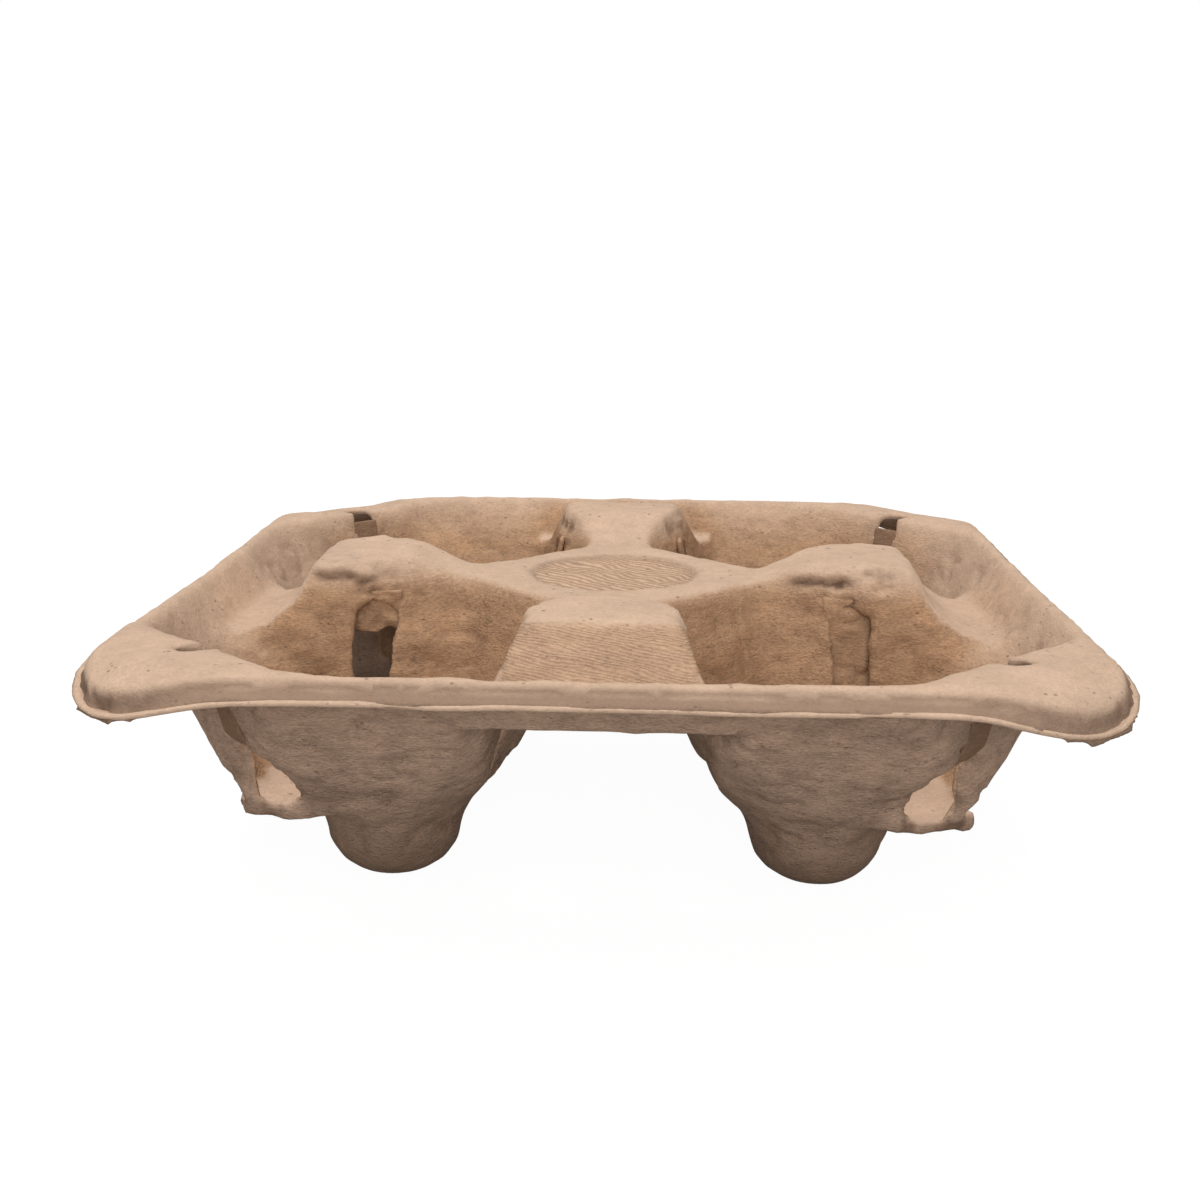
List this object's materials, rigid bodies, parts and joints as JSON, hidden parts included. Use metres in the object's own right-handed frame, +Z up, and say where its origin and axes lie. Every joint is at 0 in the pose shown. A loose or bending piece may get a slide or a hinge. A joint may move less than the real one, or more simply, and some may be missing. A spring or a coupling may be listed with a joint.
{
  "type": "cup carrier",
  "caption": "Square moulded-fibre cup carrier tray with sprung, slotted pockets on round feet, humped ridges, a lipped rim and drooping corners.",
  "frame": {"origin": "on the floor under the middle of the tray", "axes": "+Z up, +X to the right and -Y to the front of the tray"},
  "size_m": [0.215, 0.215, 0.0655],
  "materials": {
    "pulp": "rough moulded fibre"
  },
  "bodies": {
    "root": {"carrier": "pulp"}
  },
  "joints": []
}
